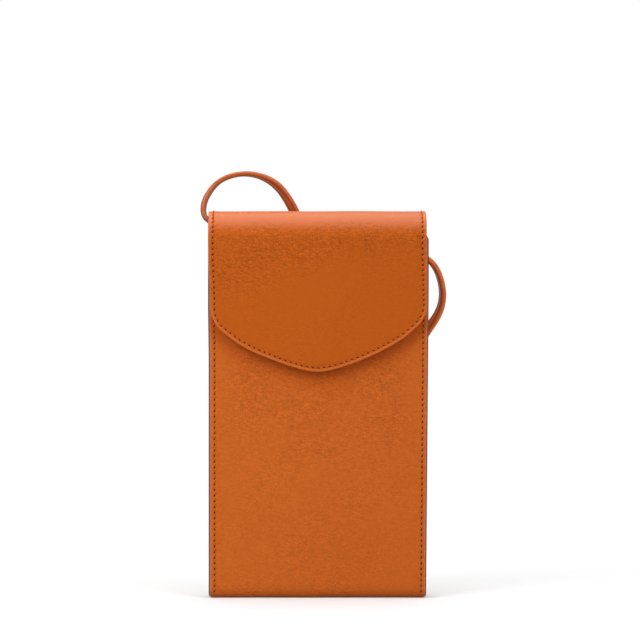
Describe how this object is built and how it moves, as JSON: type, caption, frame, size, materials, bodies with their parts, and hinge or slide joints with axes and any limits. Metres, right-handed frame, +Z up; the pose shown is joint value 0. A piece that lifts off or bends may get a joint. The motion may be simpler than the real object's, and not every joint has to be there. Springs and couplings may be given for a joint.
{
  "type": "phone pouch",
  "caption": "Slim upright leather phone pouch with a softly pointed flap rolled over its top, inward-folded gussets, a hidden magnetic snap and a long thin shoulder strap.",
  "frame": {"origin": "on the floor, under the middle of the body's bottom fold", "axes": "+Z up, the front panel and flap face -Y, +X to the right of someone who looks at the front"},
  "size_m": [0.1212, 0.0719, 0.2093],
  "materials": {
    "tan_leather": "smooth tanned hide with a fine pebbled grain",
    "flap_lining": "thin matt lining hide",
    "thread": "waxed thread, tone on tone",
    "snap_metal": "lightly brushed",
    "magnet": "plated",
    "strap_leather": "folded and edge-sewn strap",
    "tie_tape": "woven cotton tape"
  },
  "bodies": {
    "pouch": {"body_wrap": "tan_leather", "gusset_left": "tan_leather", "gusset_right": "tan_leather", "seam_thread_front_left": "thread", "seam_thread_front_right": "thread", "seam_thread_back_left": "thread", "seam_thread_back_right": "thread", "snap_socket_case": "snap_metal", "snap_magnet": "magnet", "snap_socket_cap": "snap_metal", "snap_patch": "tan_leather", "strap_end_left": "strap_leather", "strap_end_right": "strap_leather", "strap_end_thread_left": "thread", "strap_end_thread_right": "thread", "strap_left": "strap_leather", "strap_hank": "strap_leather", "strap_right": "strap_leather", "hank_tie": "tie_tape"},
    "flap_top": {"flap_top_leather": "tan_leather", "flap_top_lining": "flap_lining", "flap_top_thread": "thread"},
    "flap_front": {"flap_front_leather": "tan_leather", "flap_front_lining": "flap_lining", "flap_edge_thread": "thread", "snap_stud": "snap_metal", "snap_stud_cap": "snap_metal"}
  },
  "joints": [
    {"name": "flap_back_fold", "type": "hinge", "parent": "pouch", "child": "flap_top", "pos_m": [0, 0.00722, 0.18572], "axis": [-1, 0, 0], "range_deg": [0, 90]},
    {"name": "flap_front_fold", "type": "hinge", "parent": "flap_top", "child": "flap_front", "pos_m": [0, -0.01065, 0.1843], "axis": [-1, 0, 0], "range_deg": [0, 90]}
  ],
  "couplings": [
    {"joint": "flap_front_fold", "follows": "flap_back_fold", "ratio": 1}
  ]
}
